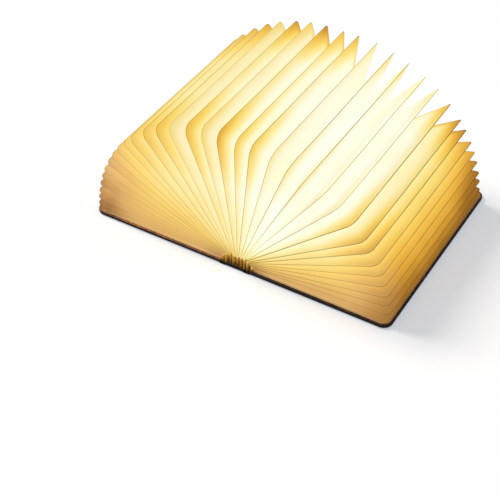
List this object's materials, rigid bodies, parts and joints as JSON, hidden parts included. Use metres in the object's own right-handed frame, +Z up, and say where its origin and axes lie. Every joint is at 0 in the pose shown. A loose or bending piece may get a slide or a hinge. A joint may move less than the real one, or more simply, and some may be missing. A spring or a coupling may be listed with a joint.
{
  "type": "folding book lamp",
  "caption": "Hard leather-covered book that opens flat into a fan of lit paper pleats, with a light unit along its spine and a magnet switch in the cover.",
  "frame": {"origin": "on the table, under the middle of the spine, with the book open flat and its outer faces down", "axes": "+X across the back cover, +Y along the spine to the head of the book, +Z up out of the fan"},
  "size_m": [0.306, 0.21, 0.1419],
  "materials": {
    "cover_leather": "embossed leather, black-brown in the hollows and rubbed copper bronze on the raised parts",
    "grey_board": "dense grey bookbinding board",
    "lining_paper": "cream lining paper",
    "shade_paper": "tear-proof fibre paper, lit from inside, white in the valleys and amber on the ridges",
    "white_plastic": "moulded white",
    "frosted_plastic": "frosted diffuser, lit",
    "lamp_strip": "white solder mask with yellow lamp chips",
    "circuit_board": "green solder mask",
    "steel": "plated",
    "cell_wrap": "laminated pouch",
    "switch_glass": "clear glass capsule",
    "magnet": "nickel plated"
  },
  "bodies": {
    "back_cover": {"back_leather": "cover_leather", "back_board": "grey_board", "back_endpaper": "lining_paper"},
    "spine": {"spine_leather": "cover_leather", "spine_board": "grey_board", "back_hinge_leather": "cover_leather", "front_hinge_leather": "cover_leather", "light_tray": "white_plastic", "lamp_strip": "lamp_strip", "diffuser": "frosted_plastic", "control_board": "circuit_board", "charge_socket": "steel", "battery_cell": "cell_wrap", "lid_switch": "switch_glass", "strip_screw_tail": "steel", "strip_screw_head": "steel", "root_gusset": "shade_paper", "pleat_upright": "shade_paper"},
    "front_cover": {"front_leather": "cover_leather", "front_board": "grey_board", "front_endpaper": "lining_paper", "sensor_magnet": "magnet"},
    "pleat_front_17": {"pleat_front_17": "shade_paper"},
    "pleat_front_16": {"pleat_front_16": "shade_paper"},
    "pleat_front_15": {"pleat_front_15": "shade_paper"},
    "pleat_front_14": {"pleat_front_14": "shade_paper"},
    "pleat_front_13": {"pleat_front_13": "shade_paper"},
    "pleat_front_12": {"pleat_front_12": "shade_paper"},
    "pleat_front_11": {"pleat_front_11": "shade_paper"},
    "pleat_front_10": {"pleat_front_10": "shade_paper"},
    "pleat_front_09": {"pleat_front_09": "shade_paper"},
    "pleat_front_08": {"pleat_front_08": "shade_paper"},
    "pleat_front_07": {"pleat_front_07": "shade_paper"},
    "pleat_front_06": {"pleat_front_06": "shade_paper"},
    "pleat_front_05": {"pleat_front_05": "shade_paper"},
    "pleat_front_04": {"pleat_front_04": "shade_paper"},
    "pleat_front_03": {"pleat_front_03": "shade_paper"},
    "pleat_front_02": {"pleat_front_02": "shade_paper"},
    "pleat_front_01": {"pleat_front_01": "shade_paper"},
    "pleat_back_01": {"pleat_back_01": "shade_paper"},
    "pleat_back_02": {"pleat_back_02": "shade_paper"},
    "pleat_back_03": {"pleat_back_03": "shade_paper"},
    "pleat_back_04": {"pleat_back_04": "shade_paper"},
    "pleat_back_05": {"pleat_back_05": "shade_paper"},
    "pleat_back_06": {"pleat_back_06": "shade_paper"},
    "pleat_back_07": {"pleat_back_07": "shade_paper"},
    "pleat_back_08": {"pleat_back_08": "shade_paper"},
    "pleat_back_09": {"pleat_back_09": "shade_paper"},
    "pleat_back_10": {"pleat_back_10": "shade_paper"},
    "pleat_back_11": {"pleat_back_11": "shade_paper"},
    "pleat_back_12": {"pleat_back_12": "shade_paper"},
    "pleat_back_13": {"pleat_back_13": "shade_paper"},
    "pleat_back_14": {"pleat_back_14": "shade_paper"},
    "pleat_back_15": {"pleat_back_15": "shade_paper"}
  },
  "joints": [
    {"name": "spine_fold", "type": "hinge", "parent": "back_cover", "child": "spine", "pos_m": [0.012, 0, 0.0015], "axis": [0, 1, 0], "range_deg": [0, 90], "deforming": ["back_hinge_leather", "pleat_upright", "root_gusset"]},
    {"name": "front_cover_fold", "type": "hinge", "parent": "spine", "child": "front_cover", "pos_m": [-0.012, 0, 0.0015], "axis": [0, 1, 0], "range_deg": [0, 90], "deforming": ["front_hinge_leather"]},
    {"name": "pleat_front_17_turn", "type": "hinge", "parent": "spine", "child": "pleat_front_17", "pos_m": [-0.012, 0, 0.0015], "axis": [0, 1, 0], "range_deg": [0, 87.84], "deforming": ["pleat_front_17"]},
    {"name": "pleat_front_16_turn", "type": "hinge", "parent": "spine", "child": "pleat_front_16", "pos_m": [-0.012, 0, 0.0015], "axis": [0, 1, 0], "range_deg": [0, 84.86], "deforming": ["pleat_front_16"]},
    {"name": "pleat_front_15_turn", "type": "hinge", "parent": "spine", "child": "pleat_front_15", "pos_m": [-0.012, 0, 0.0015], "axis": [0, 1, 0], "range_deg": [0, 81.47], "deforming": ["pleat_front_15"]},
    {"name": "pleat_front_14_turn", "type": "hinge", "parent": "spine", "child": "pleat_front_14", "pos_m": [-0.012, 0, 0.0015], "axis": [0, 1, 0], "range_deg": [0, 77.78], "deforming": ["pleat_front_14"]},
    {"name": "pleat_front_13_turn", "type": "hinge", "parent": "spine", "child": "pleat_front_13", "pos_m": [-0.012, 0, 0.0015], "axis": [0, 1, 0], "range_deg": [0, 73.84], "deforming": ["pleat_front_13"]},
    {"name": "pleat_front_12_turn", "type": "hinge", "parent": "spine", "child": "pleat_front_12", "pos_m": [-0.012, 0, 0.0015], "axis": [0, 1, 0], "range_deg": [0, 69.71], "deforming": ["pleat_front_12"]},
    {"name": "pleat_front_11_turn", "type": "hinge", "parent": "spine", "child": "pleat_front_11", "pos_m": [-0.012, 0, 0.0015], "axis": [0, 1, 0], "range_deg": [0, 65.4], "deforming": ["pleat_front_11"]},
    {"name": "pleat_front_10_turn", "type": "hinge", "parent": "spine", "child": "pleat_front_10", "pos_m": [-0.012, 0, 0.0015], "axis": [0, 1, 0], "range_deg": [0, 60.93], "deforming": ["pleat_front_10"]},
    {"name": "pleat_front_09_turn", "type": "hinge", "parent": "spine", "child": "pleat_front_09", "pos_m": [-0.012, 0, 0.0015], "axis": [0, 1, 0], "range_deg": [0, 56.31], "deforming": ["pleat_front_09"]},
    {"name": "pleat_front_08_turn", "type": "hinge", "parent": "spine", "child": "pleat_front_08", "pos_m": [-0.012, 0, 0.0015], "axis": [0, 1, 0], "range_deg": [0, 51.57], "deforming": ["pleat_front_08"]},
    {"name": "pleat_front_07_turn", "type": "hinge", "parent": "spine", "child": "pleat_front_07", "pos_m": [-0.012, 0, 0.0015], "axis": [0, 1, 0], "range_deg": [0, 46.71], "deforming": ["pleat_front_07"]},
    {"name": "pleat_front_06_turn", "type": "hinge", "parent": "spine", "child": "pleat_front_06", "pos_m": [-0.012, 0, 0.0015], "axis": [0, 1, 0], "range_deg": [0, 40.04], "deforming": ["pleat_front_06"]},
    {"name": "pleat_front_05_turn", "type": "hinge", "parent": "spine", "child": "pleat_front_05", "pos_m": [-0.012, 0, 0.0015], "axis": [0, 1, 0], "range_deg": [0, 33.37], "deforming": ["pleat_front_05"]},
    {"name": "pleat_front_04_turn", "type": "hinge", "parent": "spine", "child": "pleat_front_04", "pos_m": [-0.012, 0, 0.0015], "axis": [0, 1, 0], "range_deg": [0, 26.69], "deforming": ["pleat_front_04"]},
    {"name": "pleat_front_03_turn", "type": "hinge", "parent": "spine", "child": "pleat_front_03", "pos_m": [-0.012, 0, 0.0015], "axis": [0, 1, 0], "range_deg": [0, 20.02], "deforming": ["pleat_front_03"]},
    {"name": "pleat_front_02_turn", "type": "hinge", "parent": "spine", "child": "pleat_front_02", "pos_m": [-0.012, 0, 0.0015], "axis": [0, 1, 0], "range_deg": [0, 13.35], "deforming": ["pleat_front_02"]},
    {"name": "pleat_front_01_turn", "type": "hinge", "parent": "spine", "child": "pleat_front_01", "pos_m": [-0.012, 0, 0.0015], "axis": [0, 1, 0], "range_deg": [0, 6.67], "deforming": ["pleat_front_01"]},
    {"name": "pleat_back_01_turn", "type": "hinge", "parent": "spine", "child": "pleat_back_01", "pos_m": [0.012, 0, 0.0015], "axis": [0, 1, 0], "range_deg": [-6.77, 0], "deforming": ["pleat_back_01"]},
    {"name": "pleat_back_02_turn", "type": "hinge", "parent": "spine", "child": "pleat_back_02", "pos_m": [0.012, 0, 0.0015], "axis": [0, 1, 0], "range_deg": [-13.55, 0], "deforming": ["pleat_back_02"]},
    {"name": "pleat_back_03_turn", "type": "hinge", "parent": "spine", "child": "pleat_back_03", "pos_m": [0.012, 0, 0.0015], "axis": [0, 1, 0], "range_deg": [-20.32, 0], "deforming": ["pleat_back_03"]},
    {"name": "pleat_back_04_turn", "type": "hinge", "parent": "spine", "child": "pleat_back_04", "pos_m": [0.012, 0, 0.0015], "axis": [0, 1, 0], "range_deg": [-27.09, 0], "deforming": ["pleat_back_04"]},
    {"name": "pleat_back_05_turn", "type": "hinge", "parent": "spine", "child": "pleat_back_05", "pos_m": [0.012, 0, 0.0015], "axis": [0, 1, 0], "range_deg": [-33.86, 0], "deforming": ["pleat_back_05"]},
    {"name": "pleat_back_06_turn", "type": "hinge", "parent": "spine", "child": "pleat_back_06", "pos_m": [0.012, 0, 0.0015], "axis": [0, 1, 0], "range_deg": [-40.64, 0], "deforming": ["pleat_back_06"]},
    {"name": "pleat_back_07_turn", "type": "hinge", "parent": "spine", "child": "pleat_back_07", "pos_m": [0.012, 0, 0.0015], "axis": [0, 1, 0], "range_deg": [-47.41, 0], "deforming": ["pleat_back_07"]},
    {"name": "pleat_back_08_turn", "type": "hinge", "parent": "spine", "child": "pleat_back_08", "pos_m": [0.012, 0, 0.0015], "axis": [0, 1, 0], "range_deg": [-54.18, 0], "deforming": ["pleat_back_08"]},
    {"name": "pleat_back_09_turn", "type": "hinge", "parent": "spine", "child": "pleat_back_09", "pos_m": [0.012, 0, 0.0015], "axis": [0, 1, 0], "range_deg": [-59.28, 0], "deforming": ["pleat_back_09"]},
    {"name": "pleat_back_10_turn", "type": "hinge", "parent": "spine", "child": "pleat_back_10", "pos_m": [0.012, 0, 0.0015], "axis": [0, 1, 0], "range_deg": [-64.27, 0], "deforming": ["pleat_back_10"]},
    {"name": "pleat_back_11_turn", "type": "hinge", "parent": "spine", "child": "pleat_back_11", "pos_m": [0.012, 0, 0.0015], "axis": [0, 1, 0], "range_deg": [-69.14, 0], "deforming": ["pleat_back_11"]},
    {"name": "pleat_back_12_turn", "type": "hinge", "parent": "spine", "child": "pleat_back_12", "pos_m": [0.012, 0, 0.0015], "axis": [0, 1, 0], "range_deg": [-73.86, 0], "deforming": ["pleat_back_12"]},
    {"name": "pleat_back_13_turn", "type": "hinge", "parent": "spine", "child": "pleat_back_13", "pos_m": [0.012, 0, 0.0015], "axis": [0, 1, 0], "range_deg": [-78.41, 0], "deforming": ["pleat_back_13"]},
    {"name": "pleat_back_14_turn", "type": "hinge", "parent": "spine", "child": "pleat_back_14", "pos_m": [0.012, 0, 0.0015], "axis": [0, 1, 0], "range_deg": [-82.73, 0], "deforming": ["pleat_back_14"]},
    {"name": "pleat_back_15_turn", "type": "hinge", "parent": "spine", "child": "pleat_back_15", "pos_m": [0.012, 0, 0.0015], "axis": [0, 1, 0], "range_deg": [-86.72, 0], "deforming": ["pleat_back_15"]}
  ],
  "couplings": [
    {"joint": "front_cover_fold", "follows": "spine_fold", "ratio": 1},
    {"joint": "pleat_front_17_turn", "follows": "spine_fold", "ratio": 0.97599},
    {"joint": "pleat_front_16_turn", "follows": "spine_fold", "ratio": 0.94289},
    {"joint": "pleat_front_15_turn", "follows": "spine_fold", "ratio": 0.9052},
    {"joint": "pleat_front_14_turn", "follows": "spine_fold", "ratio": 0.86418},
    {"joint": "pleat_front_13_turn", "follows": "spine_fold", "ratio": 0.82048},
    {"joint": "pleat_front_12_turn", "follows": "spine_fold", "ratio": 0.77453},
    {"joint": "pleat_front_11_turn", "follows": "spine_fold", "ratio": 0.72661},
    {"joint": "pleat_front_10_turn", "follows": "spine_fold", "ratio": 0.67695},
    {"joint": "pleat_front_09_turn", "follows": "spine_fold", "ratio": 0.62571},
    {"joint": "pleat_front_08_turn", "follows": "spine_fold", "ratio": 0.57302},
    {"joint": "pleat_front_07_turn", "follows": "spine_fold", "ratio": 0.519},
    {"joint": "pleat_front_06_turn", "follows": "spine_fold", "ratio": 0.44486},
    {"joint": "pleat_front_05_turn", "follows": "spine_fold", "ratio": 0.37071},
    {"joint": "pleat_front_04_turn", "follows": "spine_fold", "ratio": 0.29657},
    {"joint": "pleat_front_03_turn", "follows": "spine_fold", "ratio": 0.22243},
    {"joint": "pleat_front_02_turn", "follows": "spine_fold", "ratio": 0.14829},
    {"joint": "pleat_front_01_turn", "follows": "spine_fold", "ratio": 0.074142},
    {"joint": "pleat_back_01_turn", "follows": "spine_fold", "ratio": -0.07525},
    {"joint": "pleat_back_02_turn", "follows": "spine_fold", "ratio": -0.1505},
    {"joint": "pleat_back_03_turn", "follows": "spine_fold", "ratio": -0.22575},
    {"joint": "pleat_back_04_turn", "follows": "spine_fold", "ratio": -0.301},
    {"joint": "pleat_back_05_turn", "follows": "spine_fold", "ratio": -0.37625},
    {"joint": "pleat_back_06_turn", "follows": "spine_fold", "ratio": -0.4515},
    {"joint": "pleat_back_07_turn", "follows": "spine_fold", "ratio": -0.52675},
    {"joint": "pleat_back_08_turn", "follows": "spine_fold", "ratio": -0.602},
    {"joint": "pleat_back_09_turn", "follows": "spine_fold", "ratio": -0.65865},
    {"joint": "pleat_back_10_turn", "follows": "spine_fold", "ratio": -0.71411},
    {"joint": "pleat_back_11_turn", "follows": "spine_fold", "ratio": -0.76818},
    {"joint": "pleat_back_12_turn", "follows": "spine_fold", "ratio": -0.82065},
    {"joint": "pleat_back_13_turn", "follows": "spine_fold", "ratio": -0.87117},
    {"joint": "pleat_back_14_turn", "follows": "spine_fold", "ratio": -0.91918},
    {"joint": "pleat_back_15_turn", "follows": "spine_fold", "ratio": -0.96358}
  ]
}
